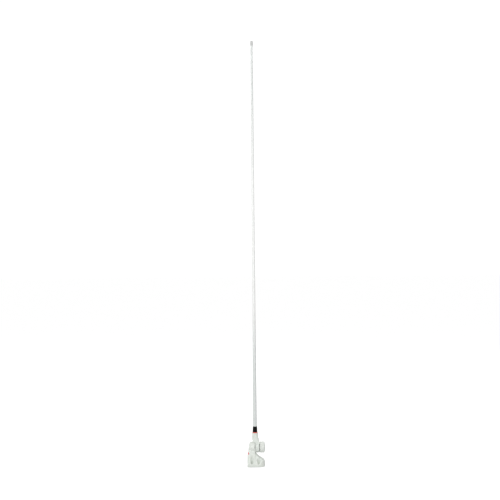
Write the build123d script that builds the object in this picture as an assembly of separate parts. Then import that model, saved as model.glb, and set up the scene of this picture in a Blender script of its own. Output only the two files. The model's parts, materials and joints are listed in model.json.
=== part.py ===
"""Omnidirectional whip antenna on a fold-down ratchet mount, in millimetres.

+X points to the hand knob, +Y to the back and +Z up along the whip. The origin is on the underside of
the foot, at the centre of its four screw holes. The hinge axis lies along X. The clutch is slackened,
so the two toothed halves of the hinge stand apart and the arm can tilt.
"""

from build123d import *
from math import atan2, cos, radians, sin
import os

# Driving dimensions
overall_height = 1800.0
pivot_height = 80.0

# Foot and post
foot_left = -33.0
foot_right = 41.0
foot_half_depth = 30.0
toe_corner = 25.0
flange_height = 12.0
toe_ridge = [(-4, 56), (4, 53), (12, 45), (21, 37.5), (30, 31.5), (36.5, 26.5), (41.5, 18)]
post_right = -0.9
post_edge_radius = 9.0
screw_x = 14.0
screw_y = 23.5
screw_hole_radius = 2.75
screw_seat_height = 10.0
flute_radius = 5.9
flute_lean = 7.0

# Badge: a round disc on the post's front corner, turned badge_turn from the side towards the front
badge_radius = 4.6
badge_height = 55.0
badge_turn = 35.0
badge_thickness = 1.6
badge_proud = 0.7

# Hinge
hub_radius = 24.2
arm_hub_radius = 22.7
swing_clearance = 1.7
bolt_radius = 4.0
running_gap = 0.05
clamp_travel = 1.875

# Ratchet teeth: crests and roots all run to one point on the hinge axis
tooth_count = 40
tooth_inner_radius = 11.0
tooth_outer_radius = 20.0
tooth_depth = 1.45
mesh_gap = 0.1
fixed_pitch_plane = -0.85
moving_pitch_plane = fixed_pitch_plane + mesh_gap + clamp_travel

# Arm
arm_left = 1.2
arm_right = 17.3
pad_inner_radius = 15.0
pad_outer_radius = 21.5
pad_half_angle = 40.0
collar_radius = 12.65
collar_bottom = 109.0
collar_top = 140.4
cable_way_height = 112.0
grommet_face = 11.6

# Knob
knob_left = 20.3
knob_boss_left = 18.8
knob_shoulder = 38.3
knob_radius = 23.0
grip_groove_count = 30

# Whip foot: stud, ring and sleeve
stud_radius = 5.0
ring_height = 3.6
ring_radius = 11.0
seat_gap = 0.15
sleeve_height = 23.8
sleeve_bottom_radius = 10.2
sleeve_top_radius = 8.9
whip_bottom = collar_top + ring_height + 2 * seat_gap

# Radome: height above the foot, outer radius
radome_bottom = whip_bottom + 3
radome_taper = [(radome_bottom, 8.45), (350, 7.4), (600, 6.35), (1150, 5.5), (1500, 5.05), (1782, 4.2)]
radome_wall_bottom = 1.7
radome_wall_top = 1.1
tip_cap_height = 19.0
tip_cap_radius = 5.2

hinge_axis = Axis((0, 0, pivot_height), (1, 0, 0))
hinge_plane = Plane((0, 0, pivot_height), x_dir=(0, 1, 0), z_dir=(1, 0, 0))


# Helpers

def front_outline(points, radii=0):
    """A closed outline seen from the front, in X and Z, with rounded corners."""
    return Plane.XZ * make_face(FilletPolyline(*points, radius=radii, close=True))


def side_outline(points, radii=0):
    """A closed outline seen from the side, in Y and Z, with rounded corners."""
    return Plane.YZ * make_face(FilletPolyline(*points, radius=radii, close=True))


def across(face, reach=200):
    """A thick slab of an outline, on both sides of its plane."""
    return extrude(face, amount=reach, both=True)


def turned_about_hinge(profile):
    """A solid of revolution about the hinge from (x, radius) points."""
    points = [(x, pivot_height + radius) for x, radius in profile]
    return revolve(Plane.XZ * make_face(Polyline(*points, close=True)), hinge_axis)


def turned_about_whip(profile):
    """A solid of revolution about the whip's axis from (radius, height) points."""
    return revolve(Plane.XZ * make_face(Polyline(*profile, close=True)), Axis.Z)


def hinge_cylinder(radius, left, right):
    """A cylinder on the hinge axis between two values of x."""
    return turned_about_hinge([(left, 0), (right, 0), (right, radius), (left, radius)])


def hinge_tube(outer, inner, left, right):
    """A tube on the hinge axis between two values of x."""
    return turned_about_hinge([(left, inner), (right, inner), (right, outer), (left, outer)])


def whip_rod(radius, bottom, top):
    """A rod on the whip's axis."""
    return turned_about_whip([(0, bottom), (radius, bottom), (radius, top), (0, top)])


def whip_tube(outer, inner, bottom, top):
    """A tube on the whip's axis."""
    return turned_about_whip([(inner, bottom), (outer, bottom), (outer, top), (inner, top)])


def hinge_hexagon(across_flats, left, right):
    """A hexagonal bar on the hinge axis."""
    section = RegularPolygon(across_flats / 2, 6, major_radius=False)
    return extrude(hinge_plane.offset(left) * section, amount=right - left)


def coil(coil_radius, wire_radius, pitch, turns, base, direction):
    """A helical wire that starts at base and runs along direction."""
    path = Helix(pitch=pitch, height=pitch * turns, radius=coil_radius, center=base, direction=direction)
    section = Plane(origin=path @ 0, z_dir=path % 0) * Circle(wire_radius)
    return sweep(section, path=path, is_frenet=True)


def toothed_disc(pitch_plane, back, first_crest_angle):
    """A disc with radial ratchet teeth, centred on pitch_plane, whose plain face is at x = back."""
    rim = tooth_outer_radius * 1.05
    half_depth = tooth_depth / 2 * rim / tooth_outer_radius
    facing = 1 if pitch_plane > back else -1
    apex = (pitch_plane, 0, pivot_height)
    front_points, back_points = [], []
    for corner in range(2 * tooth_count):
        angle = radians(first_crest_angle + corner * 180 / tooth_count)
        is_crest = corner % 2 == 0
        x = pitch_plane + facing * (half_depth if is_crest else -half_depth)
        y, z = rim * cos(angle), pivot_height + rim * sin(angle)
        front_points.append((x, y, z))
        back_points.append((back, y, z))
    faces = [Face(Wire.make_polygon(back_points))]
    for here in range(2 * tooth_count):
        after = (here + 1) % (2 * tooth_count)
        faces.append(Face(Wire.make_polygon([apex, front_points[here], front_points[after]])))
        wall = [front_points[here], front_points[after], back_points[after], back_points[here]]
        faces.append(Face(Wire.make_polygon(wall)))
    return Solid(Shell(faces))


def tooth_ring(pitch_plane, back, first_crest_angle):
    """The ring of teeth between the inner and outer tooth radius."""
    left, right = sorted((back, pitch_plane + (tooth_depth if pitch_plane > back else -tooth_depth)))
    blank = hinge_tube(tooth_outer_radius, tooth_inner_radius, left, right)
    return blank & toothed_disc(pitch_plane, back, first_crest_angle)


# Base

def front_of_post():
    """The post seen from the front: upright at the foot, then leaning in to the hub."""
    corners = [(foot_left, 0), (foot_left, 40), (-23, 101), (post_right, 108), (post_right, 0)]
    return front_outline(corners, [0, 60, 4, 0, 0])


def tapered_side(slope_end, top):
    """A side view that narrows from the flange up to slope_end and on to top, each a (y, z) point."""
    right = [(foot_half_depth, 0), (foot_half_depth, flange_height), slope_end, top]
    left = [(-y, z) for y, z in reversed(right)]
    return side_outline(right + left, [0, 30, 10, 0, 0, 10, 30, 0])


def plan_of_foot():
    """The foot seen from above, with a rounded toe."""
    corners = [
        (foot_left, -foot_half_depth),
        (foot_right, -foot_half_depth),
        (foot_right, foot_half_depth),
        (foot_left, foot_half_depth),
    ]
    return make_face(FilletPolyline(*corners, radius=[0, toe_corner, toe_corner, 0], close=True))


def screw_places():
    """The four screw axes, as (x, y)."""
    return [(x, y) for x in (-screw_x, screw_x) for y in (-screw_y, screw_y)]


def screw_flute(x, y):
    """The scallop over one screw: it leans outwards, so it fades into the sloping side above."""
    side = 1 if y > 0 else -1
    lean = Rot(X=-side * flute_lean)
    rod = Pos(x, y, screw_seat_height) * lean * Cylinder(flute_radius, 200)
    above_seat = Pos(x, y, screw_seat_height + 60) * Box(60, 60, 120)
    return rod & above_seat


def post_hub():
    """The fixed half of the hinge hub, domed towards its outer face."""
    profile = [
        (foot_left, 0), (post_right, 0), (post_right, hub_radius), (-5.5, hub_radius),
        (-14, hub_radius - 1.4), (-21, hub_radius - 3.6), (foot_left, hub_radius - 9.2),
    ]
    hub = turned_about_hinge(profile)
    return fillet(hub.edges().filter_by(Plane.YZ).sort_by(Axis.X)[-1], 2.4)


def toe_section(x, height):
    """The toe cut across at x: upright at the flange, sloping in to rounded shoulders at the top."""
    lean = (foot_half_depth - 17) / (56 - flange_height)
    shoulder = foot_half_depth - lean * (height - flange_height)
    right = [(foot_half_depth, 0), (foot_half_depth, flange_height), (shoulder, height)]
    left = [(-y, z) for y, z in reversed(right)]
    outline = FilletPolyline(*right, *left, radius=[0, 5, 6, 6, 5, 0], close=True)
    return Plane.YZ.offset(x) * make_face(outline)


def outer_upright_edges(post):
    """The edges that run up the post between its sloping outer face and its front and back."""
    uprights = [edge for edge in post.edges() if edge.length > 12 and abs(edge.center().Y) > 12]
    return [edge for edge in uprights if edge.center().X < foot_left + 12]


def foot_and_post():
    """The foot, toe and post as one block, before the hinge and the screws are cut."""
    post_zone = Pos(post_right - 50, 0, 0) * Box(100, 200, 400)
    post = across(tapered_side((20.5, 66), (15, 84))) & post_zone & across(front_of_post())
    post = fillet(outer_upright_edges(post), post_edge_radius)
    toe = loft([toe_section(x, height) for x, height in toe_ridge])
    return post + (toe & extrude(plan_of_foot(), amount=150))


def base_moulding():
    body = foot_and_post() + (post_hub() & across(front_of_post()))
    body = fillet(body.faces().sort_by(Axis.Z)[0].edges(), 3)

    recess = hinge_tube(tooth_outer_radius, tooth_inner_radius, -3, 5)
    spring_well = hinge_cylinder(tooth_inner_radius, -6, 5)
    bolt_bore = hinge_cylinder(bolt_radius + 0.1, -30, 0)
    head_pocket = hinge_hexagon(13.4, -40, -19)
    body = body - recess - spring_well + tooth_ring(fixed_pitch_plane, -4, 0) - bolt_bore - head_pocket
    for x, y in screw_places():
        body -= screw_flute(x, y)
        body -= Pos(x, y, 0) * Cylinder(screw_hole_radius, 60)
    return body - core_pocket(-27, -5, 40) - core_pocket(5, 33, 18) - badge_shape(20)


def core_pocket(left, right, depth):
    """A hollow moulded into the underside, which keeps the walls even and leaves a rib in the middle."""
    pocket = Pos((left + right) / 2, 0, depth / 2) * Box(right - left, 24, depth)
    return fillet(pocket.edges().filter_by(Axis.Z), 3)


def badge_plane():
    """A plane that touches the rounded corner of the post where the badge sits, facing out."""
    slope = atan2(10, 61)
    outer_face = foot_left + (badge_height - 40) * 10 / 61
    corner_x = outer_face + post_edge_radius
    corner_y = -(21.9 - post_edge_radius)
    turn = radians(badge_turn)
    outward = Vector(-cos(turn) * cos(slope), -sin(turn) * cos(slope), sin(slope))
    touch = Vector(corner_x, corner_y, badge_height) + outward * post_edge_radius
    return Plane(origin=touch, x_dir=(sin(turn), -cos(turn), 0), z_dir=outward)


def badge_shape(proud):
    """A round disc that is let into the post and stands proud of it."""
    seat = badge_plane().offset(-badge_thickness)
    return extrude(seat * Circle(badge_radius), amount=badge_thickness + proud)


def badge_disc():
    disc = badge_shape(badge_proud)
    rim = disc.edges().filter_by(GeomType.CIRCLE).sort_by(Axis.X)[0]
    return fillet(rim, 0.5)


def pivot_bolt():
    head = hinge_hexagon(13, -24.3, -19)
    shank = hinge_cylinder(bolt_radius, -19, 36.5)
    return chamfer((head + shank).faces().sort_by(Axis.X)[-1].edges(), 0.8)


# Clutch

def pivot_bush():
    return hinge_tube(6.5, bolt_radius + running_gap, 0, 17.3)


def thrust_washer():
    return hinge_tube(10, bolt_radius + running_gap, 17.45, 18.65)


def clutch_spring():
    wire_radius = 0.6
    start = -6 + wire_radius + 0.1
    end = 5 - wire_radius - 0.1
    turns = 4
    base = (start, 0, pivot_height)
    return coil(8.6, wire_radius, (end - start) / turns, turns, base, (1, 0, 0))


# Arm

def arm_hub():
    """The moving half of the hinge hub, with a fine mould line around it."""
    profile = [
        (arm_left, 0), (arm_right, 0), (arm_right, arm_hub_radius - 1.5), (arm_right - 1.5, arm_hub_radius),
        (8.4, arm_hub_radius), (8, arm_hub_radius - 0.4), (7.6, arm_hub_radius),
        (arm_left + 0.6, arm_hub_radius), (arm_left, arm_hub_radius - 0.6),
    ]
    return turned_about_hinge(profile)


def neck():
    """The neck between hub and collar: slanted from the front, gently tapering from the side."""
    front = [
        (-10, collar_bottom + 4), (-10, collar_bottom), (arm_left, 92), (arm_left, pivot_height),
        (arm_right, pivot_height), (arm_right, 105), (15.6, 114), (12.4, 124), (12.4, 128), (0, 128),
    ]
    front_radii = [0, 1, 4, 0, 0, 8, 12, 6, 0, 0]
    side = [(14, pivot_height), (13.8, pivot_height + 22), (12.2, 118), (12.2, 130)]
    mirrored = [(-y, z) for y, z in reversed(side)]
    side_radii = [0, 40, 20, 0, 0, 20, 40, 0]
    flare = [(0, 60), (36, 60), (36, 76), (16.2, 111), (12.6, 132), (0, 132)]
    flare_section = make_face(FilletPolyline(*flare, radius=[0, 0, 10, 60, 0, 0], close=True))
    seen_from_front = across(front_outline(front, front_radii))
    seen_from_side = across(side_outline(side + mirrored, side_radii))
    return seen_from_front & seen_from_side & revolve(Plane.XZ * flare_section, Axis.Z)


def swing_room():
    """The space the arm leaves clear around the fixed hub."""
    reach = hub_radius + swing_clearance
    left, right = -40, arm_left - 0.01
    return turned_about_hinge([(left, 0), (right, 0), (right, reach), (left, reach)])


def thrust_pads():
    """Two crescents on the arm's outer face, over and under the hinge, that steady the knob."""
    ring = hinge_tube(pad_outer_radius, pad_inner_radius, arm_right - 0.5, knob_left - 0.3)
    spread = radians(pad_half_angle)
    reach = 60
    pads = []
    for up in (-1, 1):
        wedge = [
            (0, pivot_height),
            (reach * sin(spread), pivot_height + up * reach * cos(spread)),
            (-reach * sin(spread), pivot_height + up * reach * cos(spread)),
        ]
        pads.append(ring & across(side_outline(wedge)))
    return pads


def arm_moulding():
    collar = whip_rod(collar_radius, collar_bottom, collar_top)
    collar = fillet(collar.edges().filter_by(GeomType.CIRCLE), 0.8)
    body = arm_hub() + neck() + collar + thrust_pads() - swing_room()

    recess = hinge_tube(tooth_outer_radius, tooth_inner_radius, 0, 3.4)
    spring_well = hinge_cylinder(tooth_inner_radius, 0, 5)
    bush_bore = hinge_cylinder(6.5 + running_gap, 0, 20)
    half_tooth = 180 / tooth_count
    body = body - recess - spring_well + tooth_ring(moving_pitch_plane, 4.4, half_tooth) - bush_bore

    stud_socket = whip_rod(8, 122, collar_top + 1)
    cable_well = whip_rod(4, cable_way_height, 123)
    cable_way = Plane((0, 0, cable_way_height), z_dir=(0, 1, 0)) * Circle(4.5)
    ring_groove = whip_tube(7.4, stud_radius, collar_top - 1.5, collar_top + 1)
    return body - stud_socket - cable_well - extrude(cable_way, amount=40) - ring_groove - grommet_seat()


def grommet_seat():
    """The flat on the back of the neck that the grommet's flange rests on."""
    return Pos(0, grommet_face + 20, cable_way_height) * Rot(X=90) * Cylinder(6.6, 40)



def cable_grommet():
    inner, wall, flange = 2.6, 4.5, 6.3
    profile = [
        (inner, grommet_face - 6), (wall, grommet_face - 6), (wall, grommet_face),
        (flange, grommet_face), (flange - 0.6, grommet_face + 1.8), (inner, grommet_face + 1.8),
    ]
    face = make_face(Polyline(*[(radius, along) for radius, along in profile], close=True))
    grommet = revolve(face, Axis.Y)
    return Pos(0, 0, cable_way_height) * grommet


def arm_stud():
    """The brass stud: a root moulded into the collar and a threaded end, plain at its major diameter."""
    shoulder = collar_top - 1.6
    root = whip_tube(8, 2.6, 122, shoulder)
    thread = whip_tube(stud_radius, 2.6, shoulder, 150)
    rims = (root + thread).edges().filter_by(GeomType.CIRCLE)
    return chamfer(rims.sort_by(Axis.Z)[-1], 0.5)


def stud_insulator():
    return whip_tube(2.6, 0.9, 118, 150.2)


def contact_pin():
    pin = whip_rod(0.9, 114, 153.5)
    return fillet(pin.edges().filter_by(GeomType.CIRCLE).sort_by(Axis.Z)[-1], 0.6)


def stud_o_ring():
    return Pos(0, 0, collar_top - 0.75) * Torus(6.2, 0.75)


# Knob

def knob_body():
    profile = [
        (knob_boss_left, 4.3), (knob_boss_left, 10), (knob_left, 10), (knob_left, knob_radius - 2),
        (knob_left + 0.6, knob_radius - 0.6), (knob_left + 2, knob_radius),
        (knob_shoulder - 1.2, knob_radius),
        (knob_shoulder, knob_radius - 0.9), (39.8, 19.4), (40.7, 15.6), (37.2, 15.6), (37.2, 9), (22, 9),
        (22, 4.3),
    ]
    body = turned_about_hinge(profile)
    nut_block = hinge_tube(9.2, 4.3, 22, 34) - hinge_hexagon(13, 22, 40)
    groove = hinge_plane.offset(knob_left + 4) * Pos(knob_radius + 1.2, 0) * Circle(1.8)
    groove = extrude(groove, amount=knob_shoulder - knob_left - 6)
    spacing = 360 / grip_groove_count
    grooves = [groove.rotate(hinge_axis, step * spacing) for step in range(grip_groove_count)]
    return body + nut_block - grooves


def knob_nut():
    return hinge_hexagon(13, 22, 34) - hinge_cylinder(bolt_radius + running_gap, 20, 40)


def knob_cap():
    """The shallow dome in the middle of the knob's outer face, with a skirt that presses into the knob."""
    rim, skirt, inside, edge = 15.4, 13.5, 37.3, 40.9
    dome = [(41.7, 11), (42.1, 7), (42.3, 3), (42.3, 0)]
    shell = [(39.2, 0), (39.2, skirt), (inside, skirt), (inside, rim), (edge, rim)]
    return turned_about_hinge(shell + dome)


# Whip foot

def seal_ring():
    bottom = collar_top + seat_gap
    ring = whip_tube(ring_radius, stud_radius + 0.3, bottom, bottom + ring_height)
    return fillet(ring.edges().filter_by(GeomType.CIRCLE).group_by(SortBy.RADIUS)[-1], 0.7)


def base_sleeve():
    """The tapered sleeve over the foot of the tube, with a broken edge at its top."""
    top = whip_bottom + sleeve_height
    lip = 0.25
    return turned_about_whip([
        (8.5, whip_bottom), (sleeve_bottom_radius, whip_bottom), (sleeve_top_radius, top - lip),
        (sleeve_top_radius - lip, top), (8.5, top),
    ])


def ferrule():
    """The brass ferrule: a flange under the tube and a spigot bonded inside it."""
    bore, flange, spigot = stud_radius + running_gap, 8.45, 6.45
    return turned_about_whip([
        (bore, whip_bottom), (flange, whip_bottom), (flange, radome_bottom), (spigot, radome_bottom),
        (spigot, 188), (3, 188), (3, 158), (bore, 158),
    ])


def ferrule_insulator():
    return whip_tube(3, 1.6, 158.5, 187)


def contact_socket():
    """The socket that the pin enters, drawn out into a wire that runs up to the coil."""
    return whip_rod(1.6, 150.4, 190) - whip_rod(0.95, 140, 156)


# Radome and radiators

def radome_radius(height):
    """The radome's outer radius at a height, straight between the taper's points."""
    for (low, low_radius), (high, high_radius) in zip(radome_taper, radome_taper[1:]):
        if height <= high:
            return low_radius + (high_radius - low_radius) * (height - low) / (high - low)
    return radome_taper[-1][1]


def radome_inside(height):
    """The radome's inner radius at a height: the wall thins towards the tip."""
    bottom, top = radome_taper[0][0], radome_taper[-1][0]
    share = (height - bottom) / (top - bottom)
    return radome_radius(height) - radome_wall_bottom + (radome_wall_bottom - radome_wall_top) * share


def whip_radome():
    outer = [(radius, height) for height, radius in radome_taper]
    inner = [(radome_inside(height), height) for height, _ in reversed(radome_taper)]
    return turned_about_whip(outer + inner)


def coil_former():
    return whip_tube(3, 0.8, 190, 240)


def matching_coil():
    return coil(3.6, 0.5, 2.4, 15, (0, 0, 196), (0, 0, 1))


def lower_radiator():
    return whip_tube(2, 1.5, 240, 870)


def phasing_former():
    return whip_rod(2, 870, 930)


def phasing_coil():
    return coil(2.6, 0.5, 2.5, 20, (0, 0, 875), (0, 0, 1))


def upper_radiator():
    return whip_rod(1.2, 930, 1740)


def foam_spacers():
    """Foam discs that hold the radiators in the middle of the tube, bored to fit each one."""
    length = 14
    lower = [(height, 2) for height in (330, 480, 630, 780)]
    upper = [(height, 1.2) for height in (1020, 1200, 1380, 1560, 1700)]
    discs = []
    for height, bore in lower + upper:
        discs.append(whip_tube(radome_inside(height + length) - 0.05, bore, height, height + length))
    return Compound(children=discs)


def tip_cap():
    """A cap with a domed end over the open end of the tube."""
    top = overall_height
    cap = whip_rod(tip_cap_radius, top - tip_cap_height, top)
    cap = fillet(cap.edges().filter_by(GeomType.CIRCLE).sort_by(Axis.Z)[-1], 3.5)
    return cap - whip_rod(radome_taper[-1][1] + 0.05, top - tip_cap_height - 1, radome_taper[-1][0] + 0.05)


pieces = {
    "base_moulding": base_moulding,
    "badge_disc": badge_disc,
    "pivot_bolt": pivot_bolt,
    "pivot_bush": pivot_bush,
    "thrust_washer": thrust_washer,
    "clutch_spring": clutch_spring,
    "arm_moulding": arm_moulding,
    "arm_stud": arm_stud,
    "stud_insulator": stud_insulator,
    "contact_pin": contact_pin,
    "stud_o_ring": stud_o_ring,
    "cable_grommet": cable_grommet,
    "knob_body": knob_body,
    "knob_nut": knob_nut,
    "knob_cap": knob_cap,
    "seal_ring": seal_ring,
    "base_sleeve": base_sleeve,
    "ferrule": ferrule,
    "ferrule_insulator": ferrule_insulator,
    "contact_socket": contact_socket,
    "whip_radome": whip_radome,
    "coil_former": coil_former,
    "matching_coil": matching_coil,
    "lower_radiator": lower_radiator,
    "phasing_former": phasing_former,
    "phasing_coil": phasing_coil,
    "upper_radiator": upper_radiator,
    "foam_spacers": foam_spacers,
    "tip_cap": tip_cap,
}

os.makedirs("parts", exist_ok=True)
for node, make_piece in pieces.items():
    export_step(make_piece(), f"parts/{node}.step")
    print("wrote", node)
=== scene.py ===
import json
import math

import bmesh
import bpy
from mathutils import Matrix, Vector


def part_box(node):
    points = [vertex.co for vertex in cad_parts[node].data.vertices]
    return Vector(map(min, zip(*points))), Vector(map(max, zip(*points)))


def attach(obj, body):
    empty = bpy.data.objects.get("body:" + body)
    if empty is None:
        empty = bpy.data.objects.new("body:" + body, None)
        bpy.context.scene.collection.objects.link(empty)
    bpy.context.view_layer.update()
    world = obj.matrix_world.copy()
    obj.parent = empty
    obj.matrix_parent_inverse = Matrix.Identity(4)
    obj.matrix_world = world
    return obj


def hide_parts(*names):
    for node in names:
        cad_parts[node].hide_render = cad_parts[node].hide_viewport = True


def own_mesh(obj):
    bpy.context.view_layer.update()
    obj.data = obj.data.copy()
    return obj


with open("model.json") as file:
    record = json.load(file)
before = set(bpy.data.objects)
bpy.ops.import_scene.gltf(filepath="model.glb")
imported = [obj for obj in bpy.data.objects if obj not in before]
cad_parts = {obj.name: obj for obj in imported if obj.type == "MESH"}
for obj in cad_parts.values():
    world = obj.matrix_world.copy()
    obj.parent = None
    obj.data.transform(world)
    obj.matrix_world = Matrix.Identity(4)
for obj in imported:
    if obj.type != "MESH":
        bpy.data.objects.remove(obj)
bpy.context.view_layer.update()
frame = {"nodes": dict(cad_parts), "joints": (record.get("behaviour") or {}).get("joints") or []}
nodes = frame["nodes"]
joints = {joint["name"]: joint for joint in frame["joints"]}
hinge = Vector((0, 0, joints["arm_tilt"]["pos_m"][2]))  # a point on the hinge axis, which lies along X
print("frame loaded:", len(nodes), "CAD nodes")


# small helpers for node trees

def addNode(tree, kind, settings=None, inputs=None):
    node = tree.nodes.new(kind)
    for key, value in (settings or {}).items():
        setattr(node, key, value)
    for key, value in (inputs or {}).items():
        join(tree, value, node.inputs[key])
    return node


def join(tree, value, socket):
    if isinstance(value, bpy.types.NodeSocket):
        tree.links.new(value, socket)
    else:
        socket.default_value = value


def addMath(tree, operation, first, second=0.0):
    return addNode(tree, "ShaderNodeMath", {"operation": operation}, {0: first, 1: second}).outputs[0]


def addNoise(tree, vector, scale, detail=3.0):
    settings = {"Vector": vector, "Scale": scale, "Detail": detail}
    return addNode(tree, "ShaderNodeTexNoise", inputs=settings).outputs["Fac"]


def addRange(tree, value, fromLow, fromHigh, toLow=0.0, toHigh=1.0):
    limits = {"Value": value, "From Min": fromLow, "From Max": fromHigh, "To Min": toLow, "To Max": toHigh}
    return addNode(tree, "ShaderNodeMapRange", inputs=limits).outputs["Result"]


def addMix(tree, share, first, second):
    mix = addNode(tree, "ShaderNodeMix", {"data_type": "RGBA"})
    join(tree, share, mix.inputs["Factor"])
    for index, colour in ((6, first), (7, second)):  # the colour sockets of a Mix node
        join(tree, colour if isinstance(colour, bpy.types.NodeSocket) else (*colour, 1.0), mix.inputs[index])
    return mix.outputs[2]


def newGroup(name, inputs, outputs):
    group = bpy.data.node_groups.new(name, "ShaderNodeTree")
    for label, value in inputs.items():
        group.interface.new_socket(label, in_out="INPUT", socket_type="NodeSocketFloat").default_value = value
    for label in outputs:
        group.interface.new_socket(label, in_out="OUTPUT", socket_type="NodeSocketFloat")
    return group, group.nodes.new("NodeGroupInput").outputs, group.nodes.new("NodeGroupOutput").inputs


def placeGroup(tree, group, inputs=None):
    node = addNode(tree, "ShaderNodeGroup", {"node_tree": group})
    for key, value in (inputs or {}).items():
        join(tree, value, node.inputs[key])
    return node.outputs


# effects that several materials share

def makeMouldGrain():  # spark-eroded mould texture, with slow unevenness in tone and gloss
    inputs = {"Grains": 1500.0, "Patches": 40.0}
    group, given, result = newGroup("mouldGrain", inputs, ["Height", "Tone", "Gloss"])
    place = addNode(group, "ShaderNodeTexCoord").outputs["Object"]
    fine = addNoise(group, place, given["Grains"], 2.0)
    coarse = addNoise(group, place, addMath(group, "MULTIPLY", given["Grains"], 0.22), 2.0)
    height = addMath(group, "ADD", fine, addMath(group, "MULTIPLY", coarse, 0.6))
    join(group, height, result["Height"])
    join(group, addRange(group, addNoise(group, place, given["Patches"], 4.0), 0.3, 0.7), result["Tone"])
    twice = addMath(group, "MULTIPLY", given["Patches"], 2.7)
    join(group, addRange(group, addNoise(group, place, twice, 5.0), 0.35, 0.7), result["Gloss"])
    return group


def makeEdgeWear():  # rubbed corners, found where a rounded normal leaves the true one
    group, given, result = newGroup("edgeWear", {"Width": 0.0006, "Breakup": 260.0, "Amount": 1.0}, ["Edge"])
    soft = addNode(group, "ShaderNodeBevel", {"samples": 6}, {"Radius": given["Width"]}).outputs["Normal"]
    true = addNode(group, "ShaderNodeNewGeometry").outputs["Normal"]
    dot = addNode(group, "ShaderNodeVectorMath", {"operation": "DOT_PRODUCT"}, {0: soft, 1: true})
    bare = addRange(group, dot.outputs["Value"], 0.985, 0.86)
    place = addNode(group, "ShaderNodeTexCoord").outputs["Object"]
    broken = addRange(group, addNoise(group, place, given["Breakup"], 5.0), 0.38, 0.62)
    worn = addMath(group, "MULTIPLY", bare, addMath(group, "MULTIPLY", broken, given["Amount"]))
    join(group, worn, result["Edge"])
    return group


def makeCreaseDirt():  # painted shade with grime: darker in corners and pockets, found by ambient occlusion
    group, given, result = newGroup("creaseDirt", {"Reach": 0.006, "Breakup": 120.0, "Amount": 1.0}, ["Dirt"])
    shade = addNode(group, "ShaderNodeAmbientOcclusion", {"samples": 8}, {"Distance": given["Reach"]})
    # painted shade: occluded places are marked to take the grime colour
    hidden = addRange(group, shade.outputs["AO"], 0.85, 0.25)
    place = addNode(group, "ShaderNodeTexCoord").outputs["Object"]
    uneven = addRange(group, addNoise(group, place, given["Breakup"], 6.0), 0.3, 0.7, 0.45, 1.0)
    patchy = addMath(group, "MULTIPLY", hidden, uneven)
    join(group, addMath(group, "MULTIPLY", patchy, given["Amount"]), result["Dirt"])
    return group


def makeFineScratches():  # hairline scuffs, stretched along one axis
    inputs = {"Density": 900.0, "Stretch": 0.04, "Amount": 1.0}
    group, given, result = newGroup("fineScratches", inputs, ["Scratch"])
    place = addNode(group, "ShaderNodeTexCoord").outputs["Object"]
    stretch = addNode(group, "ShaderNodeCombineXYZ", inputs={"X": 1.0, "Y": 1.0, "Z": given["Stretch"]})
    factors = {0: place, 1: stretch.outputs[0]}
    drawn = addNode(group, "ShaderNodeVectorMath", {"operation": "MULTIPLY"}, factors)
    lines = addRange(group, addNoise(group, drawn.outputs["Vector"], given["Density"], 2.0), 0.64, 0.72)
    gate = addRange(group, addNoise(group, place, 70.0, 3.0), 0.48, 0.6)
    kept = addMath(group, "MULTIPLY", lines, gate)
    join(group, addMath(group, "MULTIPLY", kept, given["Amount"]), result["Scratch"])
    return group


def makeTurnedLines():  # lathe marks: rings of slightly uneven depth along one axis
    group, given, result = newGroup("turnedLines", {"Rings": 2500.0, "AlongX": 0.0}, ["Height", "Tone"])
    place = addNode(group, "ShaderNodeTexCoord").outputs["Object"]
    parts = addNode(group, "ShaderNodeSeparateXYZ", inputs={"Vector": place}).outputs
    ends = {0: given["AlongX"], 2: parts["Z"], 3: parts["X"]}
    along = addNode(group, "ShaderNodeMix", {"data_type": "FLOAT"}, ends)
    line = addNode(group, "ShaderNodeCombineXYZ", inputs={"X": along.outputs[0]}).outputs[0]
    rings = addNoise(group, line, given["Rings"], 3.0)
    join(group, rings, result["Height"])
    join(group, addRange(group, rings, 0.3, 0.7), result["Tone"])
    return group


def makeFibreWrap():  # two sets of glass rovings wound crosswise around the tube, faint under the paint
    group, given, result = newGroup("fibreWrap", {"Turns": 130.0, "Starts": 3.0}, ["Height", "Tone"])
    place = addNode(group, "ShaderNodeTexCoord").outputs["Object"]
    parts = addNode(group, "ShaderNodeSeparateXYZ", inputs={"Vector": place}).outputs
    angle = addMath(group, "ARCTAN2", parts["Y"], parts["X"])
    climb = addMath(group, "MULTIPLY", addMath(group, "MULTIPLY", parts["Z"], given["Turns"]), math.tau)
    around = addMath(group, "MULTIPLY", angle, given["Starts"])
    rightHand = addMath(group, "SINE", addMath(group, "ADD", climb, around))
    leftHand = addMath(group, "SINE", addMath(group, "SUBTRACT", climb, around))
    woven = addMath(group, "MAXIMUM", rightHand, leftHand)
    uneven = addNoise(group, place, 300.0, 3.0)
    join(group, addMath(group, "ADD", addMath(group, "MULTIPLY", woven, 0.5), uneven), result["Height"])
    join(group, addRange(group, addNoise(group, place, 9.0, 5.0), 0.35, 0.65), result["Tone"])
    return group


mouldGrain = makeMouldGrain()
edgeWear = makeEdgeWear()
creaseDirt = makeCreaseDirt()
fineScratches = makeFineScratches()
turnedLines = makeTurnedLines()
fibreWrap = makeFibreWrap()
print("shared effects made")


# materials

def newMaterial(name, constants):
    material = bpy.data.materials.new(name)
    material.use_nodes = True
    tree = material.node_tree
    shader = tree.nodes["Principled BSDF"]
    for key, value in constants.items():
        shader.inputs[key].default_value = value
    return material, tree, shader.inputs


def setBump(tree, shader, height, depth):
    bump = addNode(tree, "ShaderNodeBump", inputs={"Height": height, "Distance": depth, "Strength": 1.0})
    join(tree, bump.outputs["Normal"], shader["Normal"])


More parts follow.
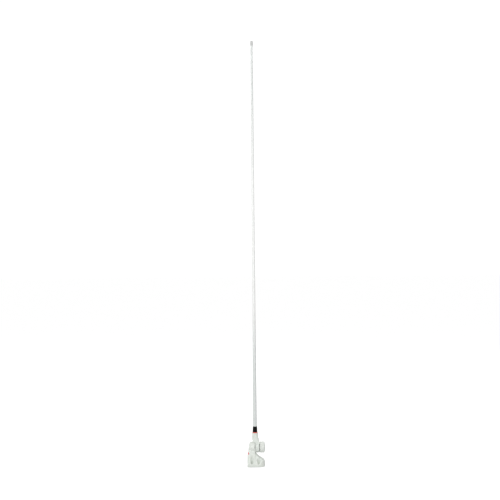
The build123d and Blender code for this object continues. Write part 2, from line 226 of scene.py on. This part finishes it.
def mouldedNylon(look):
    material, tree, shader = newMaterial(look["name"], {"IOR": 1.53, "Specular IOR Level": look["shine"]})
    grain = placeGroup(tree, mouldGrain, {"Grains": look["grains"], "Patches": look["patches"]})
    worn = placeGroup(tree, edgeWear, {"Width": look["wearWidth"], "Amount": look["wear"]})["Edge"]
    # painted shade with grime: corners and pockets darken towards the grime colour, which also dulls them
    shadeAndDirt = placeGroup(tree, creaseDirt, {"Reach": look["shadeAndDirtReach"], "Amount": look["shadeAndDirt"]})["Dirt"]
    scuffs = placeGroup(tree, fineScratches, look["scuffLines"])["Scratch"]
    body = addMix(tree, grain["Tone"], look["cool"], look["warm"])
    rubbed = addMix(tree, worn, body, look["rubbed"])
    marked = addMix(tree, scuffs, rubbed, look["rubbed"])
    join(tree, addMix(tree, shadeAndDirt, marked, look["shadeAndGrime"]), shader["Base Color"])
    rough = addRange(tree, grain["Gloss"], 0.0, 1.0, look["roughLow"], look["roughHigh"])
    polished = addMath(tree, "SUBTRACT", rough, addMath(tree, "MULTIPLY", worn, look["wearPolish"]))
    dulled = addMath(tree, "MULTIPLY", shadeAndDirt, look["shadeAndDirtDulls"])
    join(tree, addMath(tree, "ADD", polished, dulled), shader["Roughness"])
    setBump(tree, shader, grain["Height"], look["grainDepth"])
    return material


nylonLook = {
    "name": "mouldedNylonMount",
    "cool": (0.745, 0.79, 0.74),
    "warm": (0.78, 0.81, 0.755),
    "rubbed": (0.84, 0.86, 0.82),
    # colour of the painted shade and grime laid into corners
    "shadeAndGrime": (0.36, 0.38, 0.33),
    "shine": 0.42,
    "grains": 1700.0,
    "patches": 45.0,
    "grainDepth": 0.00004,
    "wearWidth": 0.0007,
    "wear": 0.55,
    "shadeAndDirtReach": 0.005,
    "shadeAndDirt": 0.2,
    "scuffLines": {"Density": 700.0, "Stretch": 0.12, "Amount": 0.35},
    "wearPolish": 0.14,
    "shadeAndDirtDulls": 0.2,
    "roughLow": 0.36,
    "roughHigh": 0.52,
}
knobLook = dict(
    nylonLook,
    name="mouldedNylonKnob",
    cool=(0.75, 0.785, 0.745),
    warm=(0.785, 0.81, 0.765),
    wear=0.8,
    # more painted shade and grime in the knob's tight corners
    shadeAndDirt=0.32,
    shadeAndDirtReach=0.003,
    roughLow=0.3,
    roughHigh=0.46,
    patches=70.0,
)
armLook = dict(
    nylonLook,
    name="mouldedNylonArm",
    cool=(0.735, 0.785, 0.735),
    warm=(0.77, 0.805, 0.755),
    patches=55.0,
)
mountNylon = mouldedNylon(nylonLook)
armNylon = mouldedNylon(armLook)
knobNylon = mouldedNylon(knobLook)


def paintedFibreglass(look):
    material, tree, shader = newMaterial(look["name"], {"IOR": 1.5, "Coat Roughness": 0.08, "Coat IOR": 1.48})
    wrap = placeGroup(tree, fibreWrap, look["winding"])
    grain = placeGroup(tree, mouldGrain, look["grain"])
    scuffs = placeGroup(tree, fineScratches, look["scuffLines"])["Scratch"]
    place = addNode(tree, "ShaderNodeTexCoord").outputs["Object"]
    height = addNode(tree, "ShaderNodeSeparateXYZ", inputs={"Vector": place}).outputs["Z"]
    # greyer towards both ends of the whip, by height
    lowerGrey = addRange(tree, height, look["lowerGreyFrom"], look["lowerGreyTo"], look["lowerGreyShare"], 0.0)
    upperGrey = addRange(tree, height, look["upperGreyFrom"], look["upperGreyTo"], 0.0, look["upperGreyShare"])
    paint = addMix(tree, wrap["Tone"], look["cool"], look["warm"])
    greyed = addMix(tree, addMath(tree, "MAXIMUM", lowerGrey, upperGrey), paint, look["greyed"])
    aged = addMix(tree, addMath(tree, "MULTIPLY", grain["Tone"], look["agedShare"]), greyed, look["aged"])
    join(tree, addMix(tree, scuffs, aged, look["scuffed"]), shader["Base Color"])
    gloss = addRange(tree, grain["Gloss"], 0.0, 1.0, look["roughLow"], look["roughHigh"])
    dulled = addMath(tree, "MULTIPLY", scuffs, look["scuffDulls"])
    join(tree, addMath(tree, "ADD", gloss, dulled), shader["Roughness"])
    coat = addRange(tree, grain["Gloss"], 0.0, 1.0, look["coatHigh"], look["coatLow"])
    join(tree, coat, shader["Coat Weight"])
    setBump(tree, shader, wrap["Height"], look["wrapDepth"])
    return material


radomePaint = paintedFibreglass({
    "name": "paintedFibreglass",
    "cool": (0.86, 0.88, 0.87),
    "warm": (0.90, 0.905, 0.89),
    "aged": (0.80, 0.80, 0.75),
    "scuffed": (0.68, 0.69, 0.68),
    "greyed": (0.66, 0.70, 0.69),
    "lowerGreyFrom": 0.42,  # the lower end is greyer
    "lowerGreyTo": 0.68,
    "lowerGreyShare": 0.9,
    "upperGreyFrom": 1.2,  # and the upper end greyer too
    "upperGreyTo": 1.7,
    "upperGreyShare": 0.65,
    "agedShare": 0.2,
    "winding": {"Turns": 130.0, "Starts": 3.0},
    "wrapDepth": 0.00006,
    "grain": {"Grains": 520.0, "Patches": 14.0},
    "scuffLines": {"Density": 1300.0, "Stretch": 0.02, "Amount": 0.4},
    "scuffDulls": 0.2,
    "coatHigh": 0.5,
    "coatLow": 0.15,
    "roughLow": 0.2,
    "roughHigh": 0.34,
})


def glossyPolymer(look):  # the sleeve, the ring, the badge and the tip cap
    material, tree, shader = newMaterial(look["name"], {
        "IOR": 1.52, "Specular IOR Level": look["shine"], "Coat Roughness": 0.06, "Coat Weight": look["coat"],
    })
    grain = placeGroup(tree, mouldGrain, {"Grains": look["grains"], "Patches": look["patches"]})
    worn = placeGroup(tree, edgeWear, {"Width": 0.0005, "Amount": look["wear"]})["Edge"]
    lines = {"Density": 1500.0, "Stretch": 0.05, "Amount": look["scuffs"]}
    scuffs = placeGroup(tree, fineScratches, lines)["Scratch"]
    body = addMix(tree, grain["Tone"], look["deep"], look["pale"])
    bare = addMath(tree, "MAXIMUM", worn, scuffs)
    join(tree, addMix(tree, bare, body, look["rubbed"]), shader["Base Color"])
    gloss = addRange(tree, grain["Gloss"], 0.0, 1.0, look["roughLow"], look["roughHigh"])
    join(tree, addMath(tree, "ADD", gloss, addMath(tree, "MULTIPLY", scuffs, 0.25)), shader["Roughness"])
    setBump(tree, shader, grain["Height"], look["grainDepth"])
    return material


sleeveBlack = glossyPolymer({
    "name": "glossyBlackSleeve", "deep": (0.002, 0.0025, 0.0025), "pale": (0.004, 0.0045, 0.0045),
    "rubbed": (0.025, 0.025, 0.024), "shine": 0.12, "coat": 0.0, "grains": 900.0, "patches": 60.0,
    "wear": 0.5, "scuffs": 0.35, "roughLow": 0.14, "roughHigh": 0.27, "grainDepth": 0.00002,
})
ringRed = glossyPolymer({
    "name": "satinRedRing", "deep": (0.70, 0.13, 0.10), "pale": (0.78, 0.17, 0.13),
    "rubbed": (0.84, 0.32, 0.26), "shine": 0.45, "coat": 0.1, "grains": 1400.0, "patches": 90.0,
    "wear": 0.5, "scuffs": 0.3, "roughLow": 0.28, "roughHigh": 0.42, "grainDepth": 0.00003,
})
badgeRed = glossyPolymer({
    "name": "resinRedBadge", "deep": (0.62, 0.02, 0.05), "pale": (0.70, 0.035, 0.07),
    "rubbed": (0.8, 0.2, 0.22), "shine": 0.55, "coat": 0.7, "grains": 500.0, "patches": 120.0,
    "wear": 0.25, "scuffs": 0.25, "roughLow": 0.1, "roughHigh": 0.2, "grainDepth": 0.00001,
})
tipWhite = glossyPolymer({
    "name": "mouldedTipCap", "deep": (0.55, 0.56, 0.55), "pale": (0.60, 0.61, 0.60),
    "rubbed": (0.68, 0.68, 0.67), "shine": 0.45, "coat": 0.05, "grains": 1600.0, "patches": 110.0,
    "wear": 0.5, "scuffs": 0.4, "roughLow": 0.34, "roughHigh": 0.48, "grainDepth": 0.00004,
})


def machinedMetal(look):
    material, tree, shader = newMaterial(look["name"], {"Metallic": 1.0})
    lines = placeGroup(tree, turnedLines, {"Rings": look["rings"], "AlongX": look["alongX"]})
    grain = placeGroup(tree, mouldGrain, {"Grains": 800.0, "Patches": 120.0})
    worn = placeGroup(tree, edgeWear, {"Width": 0.0003, "Amount": 0.8})["Edge"]
    body = addMix(tree, lines["Tone"], look["deep"], look["pale"])
    tarnished = addMix(tree, addMath(tree, "MULTIPLY", grain["Tone"], look["tarnish"]), body, look["dull"])
    join(tree, addMix(tree, worn, tarnished, look["bright"]), shader["Base Color"])
    rough = addRange(tree, grain["Gloss"], 0.0, 1.0, look["roughLow"], look["roughHigh"])
    join(tree, addMath(tree, "SUBTRACT", rough, addMath(tree, "MULTIPLY", worn, 0.1)), shader["Roughness"])
    setBump(tree, shader, lines["Height"], look["lineDepth"])
    return material


steelLook = {
    "name": "stainlessHinge", "deep": (0.50, 0.50, 0.50), "pale": (0.62, 0.62, 0.61),
    "dull": (0.38, 0.37, 0.35), "bright": (0.75, 0.75, 0.75), "tarnish": 0.35, "rings": 2600.0,
    "alongX": 1.0, "roughLow": 0.22,
    "roughHigh": 0.38, "lineDepth": 0.00001,
}
brassLook = {
    "name": "machinedBrass", "deep": (0.62, 0.43, 0.16), "pale": (0.76, 0.55, 0.24),
    "dull": (0.38, 0.26, 0.11), "bright": (0.86, 0.68, 0.36), "tarnish": 0.4, "rings": 3000.0,
    "alongX": 0.0, "roughLow": 0.2,
    "roughHigh": 0.36, "lineDepth": 0.00001,
}
copperLook = dict(
    brassLook, name="drawnCopper", deep=(0.66, 0.30, 0.17), pale=(0.80, 0.40, 0.24), dull=(0.36, 0.17, 0.1),
    bright=(0.92, 0.55, 0.38),
)
stainless = machinedMetal(steelLook)
brass = machinedMetal(brassLook)
hingeBrass = machinedMetal(dict(brassLook, name="machinedHingeBrass", alongX=1.0))
copper = machinedMetal(copperLook)


def plainPolymer(look):  # rubber, acetal, insulators and foam: matt bodies with their own grain
    material, tree, shader = newMaterial(look["name"], {"Specular IOR Level": look["shine"]})
    grain = placeGroup(tree, mouldGrain, {"Grains": look["grains"], "Patches": look["patches"]})
    # painted shade with grime in corners, found by ambient occlusion
    shadeAndDirt = placeGroup(tree, creaseDirt, {"Reach": 0.003, "Amount": look["shadeAndDirt"]})["Dirt"]
    body = addMix(tree, grain["Tone"], look["deep"], look["pale"])
    join(tree, addMix(tree, shadeAndDirt, body, look["shadeAndGrime"]), shader["Base Color"])
    rough = addRange(tree, grain["Gloss"], 0.0, 1.0, look["roughLow"], look["roughHigh"])
    join(tree, rough, shader["Roughness"])
    setBump(tree, shader, grain["Height"], look["grainDepth"])
    return material


# each look's grime colour fills occluded corners as painted shade with grime
rubber = plainPolymer({
    "name": "blackRubber", "deep": (0.012, 0.012, 0.012), "pale": (0.03, 0.03, 0.029),
    "shadeAndGrime": (0.09, 0.085, 0.075), "shine": 0.3, "grains": 2200.0, "patches": 150.0, "shadeAndDirt": 0.5,
    "roughLow": 0.6, "roughHigh": 0.8,
    "grainDepth": 0.00004,
})
acetal = plainPolymer({
    "name": "acetalBush", "deep": (0.72, 0.70, 0.62), "pale": (0.78, 0.76, 0.69), "shadeAndGrime": (0.35, 0.33, 0.28),
    "shine": 0.5, "grains": 900.0, "patches": 90.0, "shadeAndDirt": 0.4, "roughLow": 0.25, "roughHigh": 0.4,
    "grainDepth": 0.00001,
})
insulator = plainPolymer({
    "name": "whiteInsulator", "deep": (0.76, 0.76, 0.74), "pale": (0.82, 0.82, 0.8),
    "shadeAndGrime": (0.5, 0.48, 0.44), "shine": 0.4, "grains": 800.0, "patches": 130.0, "shadeAndDirt": 0.3,
    "roughLow": 0.35, "roughHigh": 0.5,
    "grainDepth": 0.00001,
})
foam = plainPolymer({
    "name": "whiteFoam", "deep": (0.78, 0.78, 0.76), "pale": (0.86, 0.86, 0.84), "shadeAndGrime": (0.6, 0.59, 0.55),
    "shine": 0.15, "grains": 1100.0, "patches": 260.0, "shadeAndDirt": 0.2, "roughLow": 0.8, "roughHigh": 0.95,
    "grainDepth": 0.0003,
})

cadFinishes = {
    "base_moulding": mountNylon,
    "arm_moulding": armNylon,
    "knob_body": knobNylon,
    "knob_cap": knobNylon,
    "badge_disc": badgeRed,
    "pivot_bolt": stainless,
    "thrust_washer": stainless,
    "clutch_spring": stainless,
    "pivot_bush": acetal,
    "arm_stud": brass,
    "contact_pin": brass,
    "contact_socket": brass,
    "ferrule": brass,
    "lower_radiator": brass,
    "knob_nut": hingeBrass,
    "matching_coil": copper,
    "phasing_coil": copper,
    "upper_radiator": copper,
    "stud_insulator": insulator,
    "ferrule_insulator": insulator,
    "coil_former": insulator,
    "phasing_former": insulator,
    "foam_spacers": foam,
    "stud_o_ring": rubber,
    "cable_grommet": rubber,
    "seal_ring": ringRed,
    "base_sleeve": sleeveBlack,
    "whip_radome": radomePaint,
    "tip_cap": tipWhite,
}
for nodeName, material in cadFinishes.items():
    nodes[nodeName].data.materials.clear()
    nodes[nodeName].data.materials.append(material)
print("materials made and given to", len(cadFinishes), "CAD nodes")


# new pieces

def newPiece(name, mesh, material, body):
    mesh.materials.append(material)
    piece = bpy.data.objects.new(name, mesh)
    bpy.context.scene.collection.objects.link(piece)
    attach(piece, body)
    return piece


def meshFromRings(name, rings, closedEnds=True):
    mesh = bpy.data.meshes.new(name)
    shape = bmesh.new()
    loops = [[shape.verts.new(point) for point in ring] for ring in rings]
    count = len(rings[0])
    for lower, upper in zip(loops, loops[1:]):
        for here in range(count):
            after = (here + 1) % count
            shape.faces.new((lower[here], lower[after], upper[after], upper[here]))
    if closedEnds:
        shape.faces.new(list(reversed(loops[0])))
        shape.faces.new(loops[-1])
    bmesh.ops.recalc_face_normals(shape, faces=shape.faces)
    for face in shape.faces:
        face.smooth = True
    shape.to_mesh(mesh)
    shape.free()
    return mesh


studThread = {
    "pitch": 0.0015,
    "depth": 0.0008,
    "ringsPerTurn": 12,
    "aroundCount": 64,
    "leadIn": 0.0014,  # length of the chamfer at the top
    "leadSlope": 0.8,
    "standsProud": 0.00198,  # the thread's crest beyond the insulator in the ferrule
    "boreGap": 0.00002,  # between the stud and the insulating tube in it
    "shoulderGap": 0.0001,  # between the shoulder and the o-ring
    "flankSlope": 1.3,
    "crestFlat": 0.15,
}


def threadedStud():  # the whip screws off this thread, so it's cut for real
    low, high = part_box("arm_stud")
    insideRadius = (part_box("stud_insulator")[1].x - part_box("stud_insulator")[0].x) / 2 + studThread["boreGap"]
    rootRadius = (high.x - low.x) / 2
    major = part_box("ferrule_insulator")[1].x + studThread["standsProud"]
    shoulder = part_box("stud_o_ring")[0].z - studThread["shoulderGap"]
    count = studThread["aroundCount"]
    rings = []

    def ring(radiusAt, height):
        rings.append([
            (radiusAt(turn) * math.cos(turn * math.tau), radiusAt(turn) * math.sin(turn * math.tau), height)
            for turn in (index / count for index in range(count))
        ])

    ring(lambda turn: insideRadius, low.z)
    ring(lambda turn: rootRadius, low.z)
    ring(lambda turn: rootRadius, shoulder)
    step = studThread["pitch"] / studThread["ringsPerTurn"]
    steps = int((high.z - shoulder) / step)
    for index in range(steps + 1):
        height = shoulder + index * step
        limit = major - max(0.0, height - (high.z - studThread["leadIn"])) * studThread["leadSlope"]

        def radiusAt(turn, height=height, limit=limit):
            wave = abs(((height / studThread["pitch"] - turn) % 1.0) * 2 - 1)  # 0 at the crest, 1 at the root
            flank = wave * studThread["flankSlope"] - studThread["crestFlat"]
            groove = studThread["depth"] * min(1.0, max(0.0, flank))
            return min(limit, major - groove)

        ring(radiusAt, height)
    ring(lambda turn: insideRadius, shoulder + steps * step)
    rings.append(rings[0])
    mesh = meshFromRings("studThread", rings, closedEnds=False)
    for face in mesh.polygons:
        face.use_smooth = False
    piece = newPiece("studThread", mesh, brass, "arm")
    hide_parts("arm_stud")


coilSpring = {
    "wire": 0.0006,  # radius
    "turns": 4.0,
    "deadTurns": 0.75,
    "groundShare": 0.4,  # of the wire's radius, taken off each end
    "stepsPerTurn": 40,
    "aroundWire": 14,
}


def clutchSpring():  # closed and ground ends, open turns between
    low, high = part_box("clutch_spring")
    wire = coilSpring["wire"]
    radius = (high.y - low.y) / 2 - wire
    start, end = low.x + wire * coilSpring["groundShare"], high.x - wire * coilSpring["groundShare"]
    total = coilSpring["turns"] + 2 * coilSpring["deadTurns"]
    steps = int(total * coilSpring["stepsPerTurn"])
    rings = []
    for index in range(steps + 1):
        turn = index / coilSpring["stepsPerTurn"]
        climb = min(max(turn - coilSpring["deadTurns"], 0.0), coilSpring["turns"]) / coilSpring["turns"]
        closedTurns = min(turn, coilSpring["deadTurns"]) + max(0.0, turn - total + coilSpring["deadTurns"])
        lift = wire * 2 * closedTurns
        span = end - start - 2 * wire - wire * 4 * coilSpring["deadTurns"]
        centreX = start + wire + lift + climb * span
        out = Vector((0, math.cos(turn * math.tau), math.sin(turn * math.tau)))
        centre = hinge + Vector((centreX, 0, 0)) + out * radius
        ring = []
        for corner in range(coilSpring["aroundWire"]):
            angle = corner / coilSpring["aroundWire"] * math.tau
            point = centre + out * (wire * math.cos(angle)) + Vector((wire * math.sin(angle), 0, 0))
            point.x = min(max(point.x, start), end)  # the ends are ground flat
            ring.append(point)
        rings.append(ring)
    mesh = meshFromRings("clutchSpringCoil", rings)
    piece = newPiece("clutchSpringCoil", mesh, stainless, "base")
    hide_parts("clutch_spring")
    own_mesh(piece)


threadedStud()
clutchSpring()
print("thread and spring made")


# stage, light and camera

floorLook = {"size": 30.0, "below": 0.0002, "tone": 0.62, "cameraLift": 0.62}


def makeFloor():
    mesh = bpy.data.meshes.new("studioFloor")
    shape = bmesh.new()
    bmesh.ops.create_grid(shape, x_segments=2, y_segments=2, size=floorLook["size"])
    shape.to_mesh(mesh)
    shape.free()
    material, tree, shader = newMaterial("paleFloor", {"Roughness": 0.9, "Specular IOR Level": 0.05})
    shader["Base Color"].default_value = (floorLook["tone"],) * 3 + (1.0,)
    shader["Emission Color"].default_value = (1.0, 1.0, 1.0, 1.0)
    seen = addNode(tree, "ShaderNodeLightPath").outputs["Is Camera Ray"]
    join(tree, addMath(tree, "MULTIPLY", seen, floorLook["cameraLift"]), shader["Emission Strength"])
    mesh.materials.append(material)
    floor = bpy.data.objects.new("studioFloor", mesh)
    floor.location.z = -floorLook["below"]
    bpy.context.scene.collection.objects.link(floor)


softLights = {
    "frontKey": {"place": (-1.3, -3.4, 1.6), "aim": (0, 0, 0.6), "size": (2.4, 2.4), "power": 62.0},
    "frontFill": {"place": (2.2, -3.0, 0.9), "aim": (0, 0, 0.5), "size": (1.6, 2.0), "power": 12.0},
    "backKey": {"place": (1.2, 3.2, 3.2), "aim": (0, 0, 0.6), "size": (2.0, 2.0), "power": 40.0},
    "leftStrip": {"place": (-2.8, 0.9, 1.0), "aim": (0, 0, 0.6), "size": (0.5, 2.4), "power": 12.0},
}
studioWorld = {"seen": 1.05, "ambient": 0.6}


def makeLights():
    world = bpy.data.worlds.new("whiteStudio")
    world.use_nodes = True
    tree = world.node_tree
    seen = addNode(tree, "ShaderNodeLightPath").outputs["Is Camera Ray"]
    strength = addRange(tree, seen, 0.0, 1.0, studioWorld["ambient"], studioWorld["seen"])
    tree.nodes["Background"].inputs["Color"].default_value = (1.0, 1.0, 1.0, 1.0)
    join(tree, strength, tree.nodes["Background"].inputs["Strength"])
    bpy.context.scene.world = world
    for name, look in softLights.items():
        light = bpy.data.lights.new(name, "AREA")
        light.shape = "RECTANGLE"
        light.size, light.size_y = look["size"]
        light.energy = look["power"]
        lamp = bpy.data.objects.new(name, light)
        lamp.location = look["place"]
        lamp.rotation_euler = (Vector(look["aim"]) - lamp.location).to_track_quat("-Z", "Y").to_euler()
        bpy.context.scene.collection.objects.link(lamp)


cameraLook = {"distance": 4.2, "height": 0.915, "aside": -0.0144, "roll": -0.51, "seenHeight": 2.1185}


def makeCamera():
    camera = bpy.data.cameras.new("mainCamera")
    camera.sensor_width = 36.0
    camera.lens = camera.sensor_width * cameraLook["distance"] / cameraLook["seenHeight"]
    camera.clip_end = 200.0
    view = bpy.data.objects.new("mainCamera", camera)
    level = Matrix.Rotation(math.pi / 2, 4, "X") @ Matrix.Rotation(math.radians(cameraLook["roll"]), 4, "Z")
    place = (cameraLook["aside"], -cameraLook["distance"], cameraLook["height"])
    view.matrix_world = Matrix.Translation(place) @ level
    bpy.context.scene.collection.objects.link(view)
    bpy.context.scene.camera = view


makeFloor()
makeLights()
makeCamera()
bpy.context.scene.view_settings.view_transform = "Standard"
print("stage, lights and camera made")
